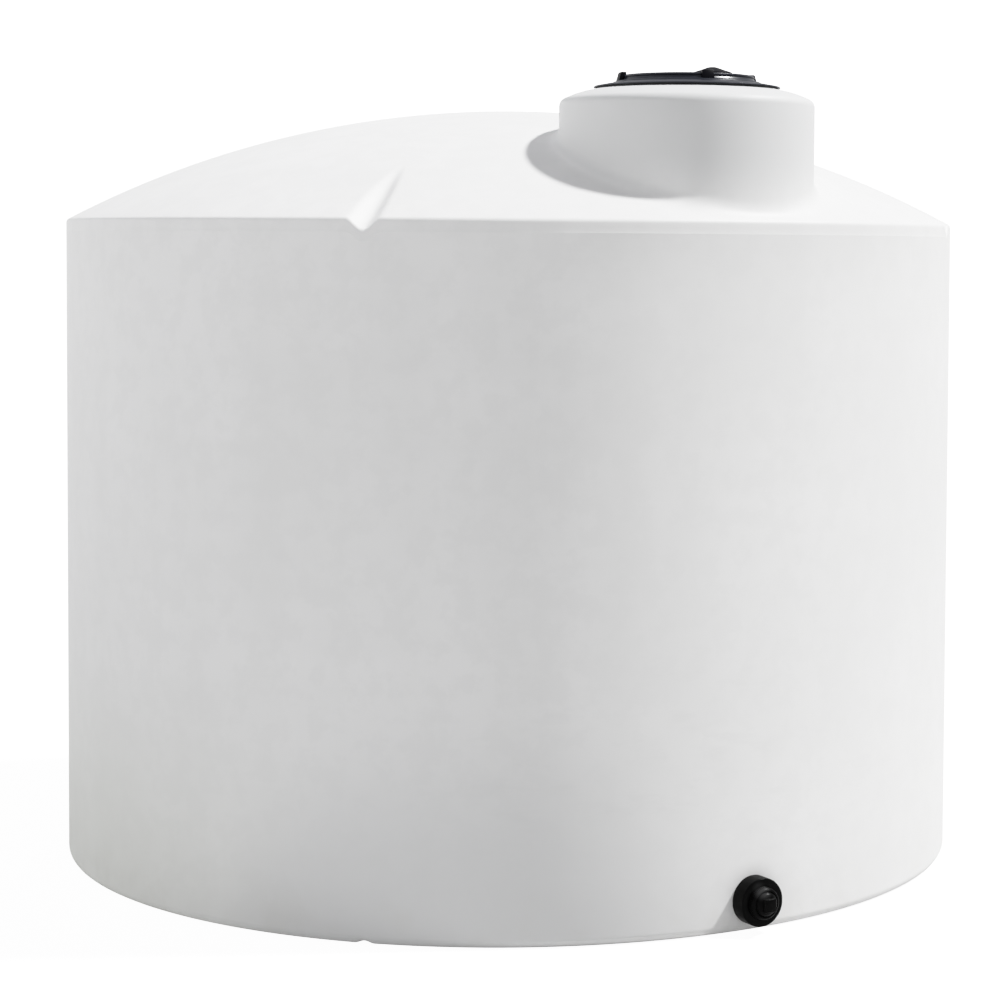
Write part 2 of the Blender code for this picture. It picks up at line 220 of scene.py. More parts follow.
def white_polyethylene():
    material, graph, shader = finish_of("white_polyethylene")
    place = graph.add("ShaderNodeTexCoord", output="Object")
    height = graph.add("ShaderNodeSeparateXYZ", None, {0: place}, output="Z")
    clouds = graph.noise(place, 1.7, 4.0, 0.55)
    streaks = graph.noise(graph.stretched(place, (7.0, 7.0, 0.5)), 1.0, 3.0)
    bands = graph.noise(graph.stretched(place, (0.9, 0.9, 13.0)), 1.0, 3.0)
    blend = graph.ramp(clouds * 0.5 + streaks * 0.3 + bands * 0.2, 0.36, 0.66)
    cloudy = graph.mix(blend, CLOUD_GREY, CLOUD_WHITE)
    flecks = graph.ramp(graph.noise(place, 15.0, 5.0, 0.62), 0.44, 0.60)
    plain = graph.mix(flecks * 0.40, cloudy, FLECK_GREY)
    side = graph.add("ShaderNodeVectorMath", {"operation": "NORMALIZE"}, {0: place})
    # Painted reflected light: low on the side away from the sun, a yellow-green tint stands for light
    # thrown up from the ground.
    at_shade = graph.ramp(towards(graph, side, SHADED_SIDE), 0.35, 1.0)
    painted_ground_light = at_shade * (1 - graph.ramp(height, 0.05, 0.70))
    spots = graph.ramp(graph.noise(place, 9.0, 5.0), 0.45, 0.70)
    splash = (1 - graph.ramp(height, 0.02, 0.16)) * spots
    with_ground_light = graph.mix(painted_ground_light * 0.55, plain, PAINTED_GROUND_LIGHT)
    # Darker towards the foot at the front: a grey that fades out upwards.
    at_front_foot = graph.ramp(towards(graph, side, DARKER_FOOT_SIDE), 0.84, 0.99)
    front_foot_share = at_front_foot * (1 - graph.ramp(height, 0.05, 0.85))
    front_foot_darkened = graph.mix(front_foot_share * 0.80, with_ground_light, FRONT_FOOT_GREY)
    scrapes = graph.noise(graph.stretched(place, (6.0, 6.0, 19.0)), 1.0, 5.0, 0.6)
    rubs = graph.ramp(scrapes, 0.53, 0.68)
    at_rubs = graph.ramp(towards(graph, side, RUBBED_SIDE), 0.72, 0.97)
    at_rubs = at_rubs * graph.ramp(height, 0.10, 0.34) * (1 - graph.ramp(height, 0.46, 0.95))
    rubbed = graph.mix(rubs * at_rubs * 0.18, front_foot_darkened, RUB_GREY)
    stained = graph.mix(splash * 0.18, rubbed, SPLASH_TAN)
    off_axis = graph.add("ShaderNodeVectorMath", {"operation": "SUBTRACT"}, {0: place, 1: MANWAY})
    level = graph.add("ShaderNodeVectorMath", {"operation": "MULTIPLY"}, {0: off_axis, 1: (1, 1, 0)})
    distance = graph.add("ShaderNodeVectorMath", {"operation": "LENGTH"}, {0: level}, output="Value")
    # Painted shade: the tower's wall is painted greyer, because under the black lid no light shines
    # through it from inside.
    tower_shade_share = graph.ramp(height, 1.60, 1.78) * (1 - graph.ramp(distance, 0.303, 0.320))
    colour = graph.mix(tower_shade_share * 0.9, stained, TOWER_SHADE_GREY)
    grain = graph.noise(place, 260.0, 2.0)
    ripple = graph.noise(graph.stretched(place, (5.0, 5.0, 3.0)), 1.0, 2.0)
    relief = graph.add(
        "ShaderNodeBump", None,
        {"Strength": 0.25, "Distance": 0.004, "Height": ripple * 0.9 + grain * 0.035}, output="Normal",
    )
    graph.fill(shader, {
        "Base Color": colour, "Roughness": 0.40 + clouds * 0.16, "Normal": relief,
        "Specular IOR Level": 0.25, "IOR": 1.5,
    })
    return material


WHITE = white_polyethylene()

# %% [markdown]
# ## Black polypropylene and rubber
# The lid and the outlet are injection moulded in black: nearly black, with a soft gloss that is
# broken up by fine scuffs and a film of dust on what faces up. Three finishes share one recipe.
# The lid's black is tinted blue as painted reflection of the sky, and its gloss reflects the real
# sky as well. Its lugs are a darker, matter copy of that black, as painted shade, and the vent is
# matt. The outlet is the blackest, with one lighter patch on its front that is a painted highlight
# where the sun would glint. The share of light that each reflects is the shader's Specular IOR
# Level, and it does more for a black part than its colour does. The seals are matt rubber,
# slightly uneven.

# %% Black mouldings and seals
DUST = (0.30, 0.29, 0.27, 1)
PAINTED_HIGHLIGHT_GREY = (0.040, 0.040, 0.040, 1)
OUTLET_HIGHLIGHT_SPOT = ((-0.012, -1.199, 0.107), 0.027)


def black_plastic(name, base, worn, gloss, shine, dust, painted_highlight=None):
    material, graph, shader = finish_of(name)
    place = graph.add("ShaderNodeTexCoord", output="Object")
    scratches = graph.noise(graph.stretched(place, (30, 30, 90)), 1.0, 6.0, 0.65)
    scuffs = graph.ramp(scratches, 0.50, 0.78)
    smears = graph.noise(place, 22.0, 3.0)
    normal = graph.add("ShaderNodeNewGeometry", output="Normal")
    upward = graph.add("ShaderNodeSeparateXYZ", None, {0: normal}, output="Z")
    film = graph.ramp(upward, 0.55, 1.0) * graph.ramp(smears, 0.30, 0.75)
    colour = graph.mix(scuffs * 0.35, base, worn)
    dust_and_highlight = graph.mix(film * dust, colour, DUST)
    # Painted highlight: a lighter patch on the outlet's front stands for the sun's glint.
    if painted_highlight:
        middle, reach = painted_highlight
        away = graph.add(
            "ShaderNodeVectorMath", {"operation": "DISTANCE"}, {0: place, 1: middle}, output="Value"
        )
        highlight_share = 1 - graph.ramp(away, 0.2 * reach, reach)
        dust_and_highlight = graph.mix(highlight_share * 0.85, dust_and_highlight, PAINTED_HIGHLIGHT_GREY)
    grain = graph.noise(place, 900.0, 2.0)
    relief = graph.add(
        "ShaderNodeBump", None,
        {"Strength": 0.2, "Distance": 0.0006, "Height": grain * 0.6 + smears * 0.4}, output="Normal",
    )
    graph.fill(shader, {
        "Base Color": dust_and_highlight, "Roughness": gloss + smears * 0.10 + scuffs * 0.12 + film * 0.15,
        "Normal": relief, "Specular IOR Level": shine,
    })
    return material


def black_rubber():
    material, graph, shader = finish_of("seal_rubber")
    place = graph.add("ShaderNodeTexCoord", output="Object")
    bloom = graph.noise(place, 40.0, 5.0, 0.6)
    dry = graph.ramp(bloom, 0.4, 0.8)
    colour = graph.mix(dry, (0.014, 0.014, 0.014, 1), (0.045, 0.044, 0.042, 1))
    relief = graph.add(
        "ShaderNodeBump", None, {"Strength": 0.3, "Distance": 0.0004, "Height": bloom}, output="Normal"
    )
    graph.fill(shader, {
        "Base Color": colour, "Roughness": 0.68 + bloom * 0.2, "Normal": relief,
    })
    return material


# Partly painted reflection: the lid's black is tinted blue for the sky that it reflects, on top of the
# real reflection from its gloss.
LID_BLACK_AND_SKY_TINT = black_plastic(
    "lid_polypropylene", (0.012, 0.0145, 0.023, 1), (0.026, 0.029, 0.039, 1),
    gloss=0.26, shine=0.44, dust=0.05,
)
FITTING_BLACK = black_plastic(
    "fitting_polypropylene", (0.0012, 0.0012, 0.0012, 1), (0.003, 0.003, 0.003, 1),
    gloss=0.25, shine=0.05, dust=0.005, painted_highlight=OUTLET_HIGHLIGHT_SPOT,
)
# Matt black for the vent; on the lugs the same darker, matter copy of the lid's black is painted
# shade.
MATT_BLACK_AND_LUG_SHADE = black_plastic(
    "matt_polypropylene_and_lug_shade", (0.003, 0.003, 0.005, 1), (0.008, 0.008, 0.011, 1),
    gloss=0.36, shine=0.07, dust=0.02,
)
RUBBER = black_rubber()
for node in ("lid_gasket", "outlet_gasket"):
    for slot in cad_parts[node].material_slots:
        slot.material = RUBBER
print("finishes:", ", ".join(sorted(m.name for m in bpy.data.materials if m.users)))

# %% [markdown]
# ## The shell as one flat sheet, laid on the tank
# The moulding is one skin: the land round the manway's mouth, its sloping top, its wall, a
# hollow fillet, the domed roof, the rounded shoulder, the wall, the rounded foot and the floor.
# Separate turned pieces would need their seams hidden, and the tower stands off centre, so no
# single turn makes it either. Here a flat sheet of squares is made: across it runs the turn
# about the manway's axis, up it runs the ring number from the mouth to the floor. A rule then
# lays each point of the sheet on the tank, as a pattern cutter's paper is laid on a body.

# %% Sizes of the shell, the same as the solids'
TANK_RADIUS = 1.143
SHOULDER_HEIGHT = 1.616
DOME_RISE = 0.290
WALL = 0.008
KNUCKLE_RADIUS = 0.022
SHOULDER_RADIUS = 0.012
TOWER_RADIUS = 0.301
TOWER_WALL_TOP = 1.8843
TOWER_CORNER = 0.022
LAND_HEIGHT = 1.924
LAND_RADIUS = 0.225
MOUTH_RADIUS = 0.209
FILLET_HEIGHT = 0.034
FILLET_REACH = 0.040
FILLET_SHARE = 0.85
SLOPE_BULGE = 0.0025
DOME_RADIUS = (TANK_RADIUS**2 + DOME_RISE**2) / (2 * DOME_RISE)
DOME_CENTRE = SHOULDER_HEIGHT + DOME_RISE - DOME_RADIUS
SHOULDER_CENTRE = (
    TANK_RADIUS - SHOULDER_RADIUS,
    DOME_CENTRE + math.sqrt(
        (DOME_RADIUS - SHOULDER_RADIUS) ** 2 - (TANK_RADIUS - SHOULDER_RADIUS) ** 2
    ),
)
SHOULDER_MEETING = math.atan2(SHOULDER_CENTRE[1] - DOME_CENTRE, SHOULDER_CENTRE[0])
ROOF_EDGE = DOME_RADIUS * math.cos(SHOULDER_MEETING)
TOWER_LEAN = math.atan2(
    LAND_HEIGHT - TOWER_WALL_TOP - TOWER_CORNER, TOWER_RADIUS - TOWER_CORNER - LAND_RADIUS
)
print("the roof meets the shoulder's curve at radius", round(ROOF_EDGE, 4))

# %% Helpers for places on the tank
def dome_height(radius):
    """Height of the roof over a circle about the tank's axis."""
    return DOME_CENTRE + math.sqrt(DOME_RADIUS**2 - radius**2)


def reach(turn, radius):
    """Distance from the manway's axis, along a turn, to a circle about the tank's axis."""
    along = MANWAY.dot(heading(turn))
    return math.sqrt(along**2 - MANWAY.length_squared + radius**2) - along


def roof_below(turn, distance):
    """Height of the roof at a distance from the manway's axis."""
    return dome_height((MANWAY + heading(turn) * distance).length)


def between(first, second, share):
    return first + (second - first) * share


# %% [markdown]
# ## One rule for each stretch of the outline
# Each rule takes a share from 0 to 1 along its stretch, and the turn, and gives the distance
# from the manway's axis and the height. The stretches on the tower are circles about the
# manway's axis; from the shoulder on they are circles about the tank's. The fillet and the roof
# lead from the one to the other, along rays from the manway's axis.

# %% Rules of the tower and the roof
def land(share, turn):
    return between(MOUTH_RADIUS, LAND_RADIUS, share), LAND_HEIGHT


def tower_slope(share, turn):
    corner = tower_corner(0, turn)
    soft = math.sin(math.pi * share) * SLOPE_BULGE * math.cos(TOWER_LEAN)
    return between(LAND_RADIUS, corner[0], share), between(LAND_HEIGHT, corner[1], share) + soft


def tower_corner(share, turn):
    angle = between(math.pi / 2 - TOWER_LEAN, 0, share)
    return (
        TOWER_RADIUS - TOWER_CORNER + TOWER_CORNER * math.cos(angle),
        TOWER_WALL_TOP + TOWER_CORNER * math.sin(angle),
    )


def tower_wall(share, turn):
    return TOWER_RADIUS, between(TOWER_WALL_TOP, fillet(0, turn)[1], share)


def fillet_foot(turn):
    """Where the fillet runs out on the roof; it narrows where the tower is near the shoulder."""
    return TOWER_RADIUS + min(FILLET_REACH, FILLET_SHARE * (reach(turn, ROOF_EDGE) - TOWER_RADIUS))


def fillet(share, turn):
    """A soft curve that leaves the tower upright and arrives on the roof along its slope."""
    crease = roof_below(turn, TOWER_RADIUS)
    distance = fillet_foot(turn)
    top, foot = (TOWER_RADIUS, crease + FILLET_HEIGHT), (distance, roof_below(turn, distance))
    left, right = (1 - share) ** 2, share**2
    middle = 1 - left - right
    return (
        top[0] * left + TOWER_RADIUS * middle + foot[0] * right,
        top[1] * left + crease * middle + foot[1] * right,
    )


def roof(share, turn):
    distance = between(fillet_foot(turn), reach(turn, ROOF_EDGE), share)
    return distance, roof_below(turn, distance)


# %% Rules of the shoulder, the wall and the foot
RIDGE_HEIGHT = 1.586
RIDGE_WIDTH = 0.005
RIDGE_PROUD = 0.0003
FLOOR_EDGE = 1.050


def shoulder(share, turn):
    angle = between(SHOULDER_MEETING, 0, share)
    radius = SHOULDER_CENTRE[0] + SHOULDER_RADIUS * math.cos(angle)
    return reach(turn, radius), SHOULDER_CENTRE[1] + SHOULDER_RADIUS * math.sin(angle)


def skirt(share, turn):
    return reach(turn, TANK_RADIUS), between(SHOULDER_CENTRE[1], RIDGE_HEIGHT + RIDGE_WIDTH / 2, share)


def mould_line(share, turn):
    """The faint ridge where the two halves of the mould meet."""
    radius = TANK_RADIUS + RIDGE_PROUD * math.sin(math.pi * share) ** 2
    return reach(turn, radius), RIDGE_HEIGHT + RIDGE_WIDTH * (0.5 - share)


def wall(share, turn):
    return reach(turn, TANK_RADIUS), between(RIDGE_HEIGHT - RIDGE_WIDTH / 2, KNUCKLE_RADIUS, share)


def knuckle(share, turn):
    angle = between(0, -math.pi / 2, share)
    radius = TANK_RADIUS - KNUCKLE_RADIUS + KNUCKLE_RADIUS * math.cos(angle)
    return reach(turn, radius), KNUCKLE_RADIUS + KNUCKLE_RADIUS * math.sin(angle)


def floor_edge(share, turn):
    return reach(turn, between(TANK_RADIUS - KNUCKLE_RADIUS, FLOOR_EDGE, share)), 0.0


STRETCHES = [
    (1, land), (3, tower_slope), (7, tower_corner), (5, tower_wall), (10, fillet), (30, roof),
    (6, shoulder), (2, skirt), (4, mould_line), (12, wall), (8, knuckle), (3, floor_edge),
]
RINGS = sum(count for count, rule in STRETCHES)
COLUMNS = 288
print(RINGS, "rings of", COLUMNS, "squares each")

# %% [markdown]
# ## Four pressed grooves and a nick under each
# The moulder presses a V into the shoulder every quarter turn, so that a rope over the roof
# can't slip, and the mould leaves a small nick in the foot right under it. A Boolean cut would
# leave knife edges that no moulding has. The grooves are pressed in by a rule instead: the roof
# is lowered to whichever is lower, the dome or the V, with a soft step between the two.

# %% Rule that presses the grooves and the nicks
GROOVES = [math.radians(-45.6 + 90 * i) for i in range(4)]
GROOVE_INNER_RADIUS = 0.900
GROOVE_DEPTH = 0.027
GROOVE_BOTTOM = 0.012
GROOVE_LIP = 0.007
GROOVE_FADE = 1.459
GROOVE_FALL = (
    (SHOULDER_HEIGHT - GROOVE_DEPTH - dome_height(GROOVE_INNER_RADIUS))
    / (TANK_RADIUS - GROOVE_INNER_RADIUS)
)
PRESS_FROM = 0.8
PRESS_HALF = 0.12
NICK_HEIGHT = 0.006
NICK_HALF = 0.024
NICK_FROM, NICK_FULL = 1.065, 1.095
NICK_TOP = 0.018


def softened(value, low, high):
    """0 below low, 1 above high, and a smooth step between."""
    share = min(max((value - low) / (high - low), 0), 1)
    return share * share * (3 - 2 * share)


def beside_groove(spot, azimuth):
    """How far a point lies out along a groove, and to its side."""
    out = heading(azimuth)
    return spot.dot(out), spot.x * -out.y + spot.y * out.x


def groove_dip(along, across):
    """How far the V lies under the dome, softened at its bottom and at its lips."""
    floor = dome_height(GROOVE_INNER_RADIUS) + GROOVE_FALL * (along - GROOVE_INNER_RADIUS)
    flank = math.hypot(across, GROOVE_BOTTOM) - GROOVE_BOTTOM
    gap = dome_height(math.hypot(along, across)) - floor - flank
    lip = max(GROOVE_LIP - abs(gap), 0) / GROOVE_LIP
    return max(gap, 0) + lip * lip * GROOVE_LIP / 4


def press(spot):
    """The place of a point once the grooves and the nicks are in."""
    radius = math.hypot(spot.x, spot.y)
    for azimuth in GROOVES:
        along, across = beside_groove(spot, azimuth)
        if along < PRESS_FROM or abs(across) > PRESS_HALF:
            continue
        if spot.z > GROOVE_FADE:
            edge = min(radius, ROOF_EDGE) / radius
            keep = min((spot.z - GROOVE_FADE) / (SHOULDER_CENTRE[1] - GROOVE_FADE), 1)
            spot.z -= groove_dip(along * edge, across * edge) * keep
        elif spot.z < KNUCKLE_RADIUS and abs(across) < NICK_HALF:
            arch = math.cos(math.pi / 2 * across / NICK_HALF) ** 2
            under = softened(radius, NICK_FROM, NICK_FULL)
            spot.z += NICK_HEIGHT * arch * under * (1 - softened(spot.z, 0, NICK_TOP))
    return spot


# %% [markdown]
# ## Finer squares only where they are needed
# The plain roof and wall need squares of 3 to 5 cm; a groove needs 4 mm. The sheet is divided
# locally while it is still flat, where halfway between two points means halfway in turn and in
# ring number, so every new point lands exactly on the rounded form. The squares widen with
# their distance from the manway, so those at the two far grooves are cut into more pieces.

# %% Flat sheet, divided near the grooves and laid on the tank
FINE_HALF, FINE_FROM, FINE_ABOVE = 0.070, 0.85, 1.554
NICK_FINE_HALF, NICK_FINE_FROM, NICK_FINE_BELOW = 0.040, 1.055, 0.036
NEAR_CUTS, FAR_CUTS = 4, 6


def shell_place(ring, turn):
    for count, rule in STRETCHES:
        if ring <= count + 1e-6:
            distance, height = rule(min(ring / count, 1), turn)
            return MANWAY + heading(turn) * distance + Vector((0, 0, height))
        ring -= count
    raise ValueError("ring beyond the floor's edge")


def near_groove(spot, azimuth):
    along, across = beside_groove(spot, azimuth)
    if abs(across) > FINE_HALF or along < FINE_FROM:
        return False
    beside_nick = abs(across) < NICK_FINE_HALF and along > NICK_FINE_FROM
    return spot.z > FINE_ABOVE or (spot.z < NICK_FINE_BELOW and beside_nick)


def flat_sheet():
    bm = bmesh.new()
    bmesh.ops.create_grid(bm, x_segments=COLUMNS, y_segments=RINGS, size=0.5)
    bmesh.ops.translate(bm, verts=bm.verts, vec=(0, 0.5, 0))
    bmesh.ops.scale(bm, verts=bm.verts, vec=(2 * math.pi, RINGS, 1))
    for azimuth in GROOVES:
        middles = [(face, face.calc_center_median()) for face in bm.faces]
        close = [
            face for face, middle in middles if near_groove(shell_place(middle.y, middle.x), azimuth)
        ]
        edges = {edge for face in close for edge in face.edges}
        cuts = NEAR_CUTS if abs(azimuth) < math.pi / 2 else FAR_CUTS
        bmesh.ops.subdivide_edges(bm, edges=list(edges), cuts=cuts, use_grid_fill=True)
    return bm


def laid_shell():
    bm = flat_sheet()
    for vert in bm.verts:
        vert.co = press(shell_place(vert.co.y, vert.co.x))
    bmesh.ops.remove_doubles(bm, verts=bm.verts, dist=1e-5)
    low = [edge for edge in bm.edges if edge.is_boundary and edge.verts[0].co.z < 0.01]
    bmesh.ops.contextual_create(bm, geom=low)
    bmesh.ops.recalc_face_normals(bm, faces=bm.faces)
    return bm


# %% [markdown]
# ## From mesh to finished piece
# A finished piece keeps its object at the origin, so that its pattern doesn't slide when it is
# moved; it is hung on the body of the mechanism that carries it, and the solids that it stands for
# are hidden.

# %% Helpers that finish a piece
def added(name, bm):
    """An object in the scene with the mesh that was built."""
    mesh = bpy.data.meshes.new(name)
    bm.to_mesh(mesh)
    bm.free()
    thing = bpy.data.objects.new(name, mesh)
    bpy.context.scene.collection.objects.link(thing)
    return thing


def triangles(thing):
    return sum(len(face.vertices) - 2 for face in thing.data.polygons)


def finished(name, bm, material, body, replaced, sharp=35):
    """A smooth piece with its material, its body and the solids that it stands for."""
    piece = added(name, bm)
    piece.data.shade_smooth()
    piece.data.set_sharp_from_angle(angle=math.radians(sharp))
    piece.data.materials.append(material)
    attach(piece, body)
    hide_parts(*replaced)
    print(name, "has", triangles(piece), "triangles before its modifiers")
    return piece


def applied(piece):
    """Bakes a piece's modifiers into its mesh."""
    view = piece.evaluated_get(bpy.context.evaluated_depsgraph_get())
    mesh = bpy.data.meshes.new_from_object(view)
    piece.modifiers.clear()
    old, piece.data = piece.data, mesh
    bpy.data.meshes.remove(old)


# %% The shell with its wall and the hole for the outlet
OUTLET_HEIGHT = 0.074
OUTLET_HOLE = 0.0375
DRILL_DEPTH = 0.06
SHELL_SHARP = 50
ALONG_OUTLET = Matrix.Translation((0, 0, OUTLET_HEIGHT)) @ Matrix.Rotation(math.pi / 2, 4, "X")


def make_shell():
    walls = [f"wall_{i:02d}" for i in range(1, 13)]
    shell = finished(
        "tank_shell", laid_shell(), WHITE, "tank",
        ["tank_floor", *walls, "roof", "manway_wall", "manway_top"], sharp=SHELL_SHARP,
    )
    thick = shell.modifiers.new("wall", "SOLIDIFY")
    thick.thickness = WALL
    thick.offset = -1
    bm = bmesh.new()
    bmesh.ops.create_cone(
        bm, segments=64, radius1=OUTLET_HOLE, radius2=OUTLET_HOLE, depth=DRILL_DEPTH, cap_ends=True,
        matrix=ALONG_OUTLET @ Matrix.Translation((0, 0, TANK_RADIUS)),
    )
    drill = added("outlet_drill", bm)
    hole = shell.modifiers.new("outlet_hole", "BOOLEAN")
    hole.operation = "DIFFERENCE"
    hole.solver = "EXACT"
    hole.object = drill
    applied(shell)
    bpy.data.objects.remove(drill, do_unlink=True)
    shell.data.set_sharp_from_angle(angle=math.radians(SHELL_SHARP))
    print("the shell with its wall has", triangles(shell), "triangles")


make_shell()

# %% [markdown]
# ## Turned pieces
# The lid, the ring, the vent and the outlet are round. Half of the section is drawn as a few
# points and spun once round; where it touches the axis, the spin's copies are merged into one
# pole. A Bevel modifier then gives every sharp edge the small radius of a real moulding, which
# is what catches the light.

# %% Helpers for turned pieces
def turned(outline, steps, place, closed=False):
    """A full turn of (radius, height) points; an outline that isn't closed ends on the axis."""
    bm = bmesh.new()
    verts = [bm.verts.new((0, -radius, height)) for radius, height in outline]
    pairs = list(zip(verts, verts[1:])) + ([(verts[-1], verts[0])] if closed else [])
    edges = [bm.edges.new(pair) for pair in pairs]
    bmesh.ops.spin(
        bm, geom=verts + edges, cent=(0, 0, 0), axis=(0, 0, 1), angle=2 * math.pi, steps=steps,
        use_merge=True,
    )
    bmesh.ops.remove_doubles(bm, verts=bm.verts, dist=1e-6)
    bmesh.ops.recalc_face_normals(bm, faces=bm.faces)
    bmesh.ops.transform(bm, matrix=place, verts=bm.verts)
    return bm


def thread(radius, crest, start, end, ridges):
    """Outline of a thread between two heights: ridges that stand on a plain radius."""
    pitch = (end - start) / ridges
    points = []
    for i in range(ridges):
        foot = start + pitch * i
        points += [
            (radius, foot + pitch * 0.10), (crest, foot + pitch * 0.35),
            (crest, foot + pitch * 0.60), (radius, foot + pitch * 0.85),
        ]
    return points


def rounded_edges(piece, width, segments=2, angle=30):
    """A Bevel on every edge that turns by more than the angle."""
    bevel = piece.modifiers.new("rounded_edges", "BEVEL")
    bevel.width = width
    bevel.segments = segments
    bevel.limit_method = "ANGLE"
    bevel.angle_limit = math.radians(angle)


# %% [markdown]
# ## The threaded ring, the lid and the vent
# A black ring lines the manway's mouth. The lid's skirt screws into it, its flange seals on it,
# and four lugs that stand a little above its crown take a bar or two hands. The crown's top is
# sunk and ribbed, so that it stays flat while the moulding cools, and a small mushroom vent lets
# the tank breathe. The lugs are a piece of their own, so that they can take a darker, matter copy
# of the lid's black as painted shade.

# %% The ring in the mouth
RING_SEAT = LAND_HEIGHT + 0.0003
LIP_TOP = RING_SEAT + 0.003
LID_SEAT = LIP_TOP + 0.0026
CROWN_TOP = LID_SEAT + 0.028
PLATE_TOP = LID_SEAT + 0.025
CROWN_FOOT = LID_SEAT + 0.011
AT_MANWAY = Matrix.Translation(MANWAY)


def make_ring():
    bore = thread(0.203, 0.2012, RING_SEAT - 0.035, LIP_TOP - 0.002, 4)
    outline = [(0.203, RING_SEAT - 0.036)] + bore + [
        (0.203, LIP_TOP), (0.214, LIP_TOP), (0.214, RING_SEAT), (0.2085, RING_SEAT),
        (0.2085, RING_SEAT - 0.036),
    ]
    ring = finished(
        "threaded_ring", turned(outline, 128, AT_MANWAY, closed=True), LID_BLACK_AND_SKY_TINT, "tank",
        ["manway_ring"],
    )
    rounded_edges(ring, 0.0004)


make_ring()

# %% The lid
LUG_TURNS = [math.radians(-15.8 + 90 * i) for i in range(4)]
LUG_TOP = CROWN_TOP + 0.0065
LUG_SIZE = (0.030, 0.015, LUG_TOP - CROWN_FOOT)
LUG_RADIUS = 0.1635
LUG_TAPER = 0.90
LUG_LEAN = 0.006
RIB_SIZE = (0.0040, 0.1150, 0.0044)
RIB_RADIUS = 0.0840
RIB_LIFT = 0.0002
RIB_TAPER = 0.8


def add_bar(bm, size, place, taper=1.0, lean=0.0):
    """A rounded bar: a cube made to size, narrowed and pushed over at its top, its edges bevelled."""
    made = bmesh.ops.create_cube(bm, size=1, matrix=Matrix.Diagonal((*size, 1)))["verts"]
    for vert in made:
        if vert.co.z > 0:
            vert.co.x *= taper
            vert.co.y = vert.co.y * taper + lean
    edges = list({edge for vert in made for edge in vert.link_edges})
    bmesh.ops.transform(bm, matrix=place, verts=made)
    bmesh.ops.bevel(
        bm, geom=edges, offset=min(size) * 0.16, segments=2, profile=0.5, affect="EDGES", material=-1
    )


def turned_place(middle, turn, spot):
    """Where a bar stands that is set down at a spot and then turned about an upright axis."""
    return Matrix.Translation(middle) @ Matrix.Rotation(turn, 4, "Z") @ Matrix.Translation(spot)


def lid_outline():
    """Half of the lid's section: the sunk plate, the crown, the flange, the threaded skirt."""
    skirt_foot = LID_SEAT - 0.030
    threaded = thread(0.198, 0.1996, LID_SEAT - 0.003, skirt_foot + 0.002, 4)
    return [
        (0, PLATE_TOP), (0.024, PLATE_TOP), (0.139, PLATE_TOP), (0.1435, CROWN_TOP - 0.001),
        (0.146, CROWN_TOP), (0.1565, CROWN_TOP), (0.1585, CROWN_TOP - 0.0015),
        (0.1592, CROWN_TOP - 0.0045), (0.1570, CROWN_TOP - 0.0065), (0.1605, CROWN_FOOT + 0.0050),
        (0.1690, CROWN_FOOT + 0.0035), (0.1735, CROWN_FOOT + 0.0020), (0.1745, CROWN_FOOT),
        (0.2185, LID_SEAT + 0.0030), (0.220, LID_SEAT + 0.0018), (0.220, LID_SEAT),
        (0.198, LID_SEAT), *threaded, (0.198, skirt_foot), (0.193, skirt_foot),
        (0.193, LID_SEAT + 0.001), (0.168, CROWN_FOOT - 0.005), (0.152, PLATE_TOP - 0.005),
        (0, PLATE_TOP - 0.005),
    ]


def make_lid():
    bm = turned(lid_outline(), 128, AT_MANWAY)
    for i in range(8):
        turn = LUG_TURNS[0] + math.radians(22.5 + 45 * i)
        place = turned_place(MANWAY, turn, (0, -RIB_RADIUS, PLATE_TOP + RIB_LIFT))
        add_bar(bm, RIB_SIZE, place, RIB_TAPER)
    lid = finished("screwed_lid", bm, LID_BLACK_AND_SKY_TINT, "lid", ["lid"])
    rounded_edges(lid, 0.0005)


def make_lugs():
    bm = bmesh.new()
    for turn in LUG_TURNS:
        place = turned_place(MANWAY, turn, (0, -LUG_RADIUS, (LUG_TOP + CROWN_FOOT) / 2))
        add_bar(bm, LUG_SIZE, place, LUG_TAPER, LUG_LEAN)
    # Painted shade: the lugs get the darker, matter copy of the lid's black.
    finished("lid_lugs", bm, MATT_BLACK_AND_LUG_SHADE, "lid", ["lid"])


make_lid()
make_lugs()

# %% The vent
VENT_PLACE = MANWAY + heading(math.radians(29.2)) * 0.067
FIN_SIZE = (0.003, 0.026, 0.0052)
FIN_RADIUS = 0.0285
FIN_LIFT = 0.0032


def make_vent():
    low = PLATE_TOP + 0.0003
    outline = [
        (0, low), (0.017, low), (0.0155, low + 0.003), (0.0155, low + 0.0062),
        (0.0430, low + 0.0060), (0.0462, low + 0.0054), (0.0470, low + 0.0066),
        (0.0464, low + 0.0092), (0.0430, low + 0.0110), (0.0250, low + 0.0168),
        (0.0120, low + 0.0216), (0.0075, low + 0.0226), (0, low + 0.0228),
    ]
    bm = turned(outline, 64, Matrix.Translation(VENT_PLACE))
    for i in range(8):
        turn = math.radians(45 * i + 10)
        add_bar(bm, FIN_SIZE, turned_place(VENT_PLACE, turn, (0, -FIN_RADIUS, low + FIN_LIFT)))
    vent = finished("mushroom_vent", bm, MATT_BLACK_AND_LUG_SHADE, "lid", ["vent_cap"])
    rounded_edges(vent, 0.0004)


make_vent()

# %% [markdown]
# ## The outlet
# A bulkhead fitting clamps the wall between a flange and a seal inside and a nut outside. The
# nut has eight sides, but its corners are so rounded that it looks almost round. Its barrel has
# a rounded end, and a domed plug with a square head closes it. The nut starts as a ring of eight
# corners; bevelling the corners alone rounds it, and then it is bridged to its bore as a flat
# washer and extruded. The rest is turned.

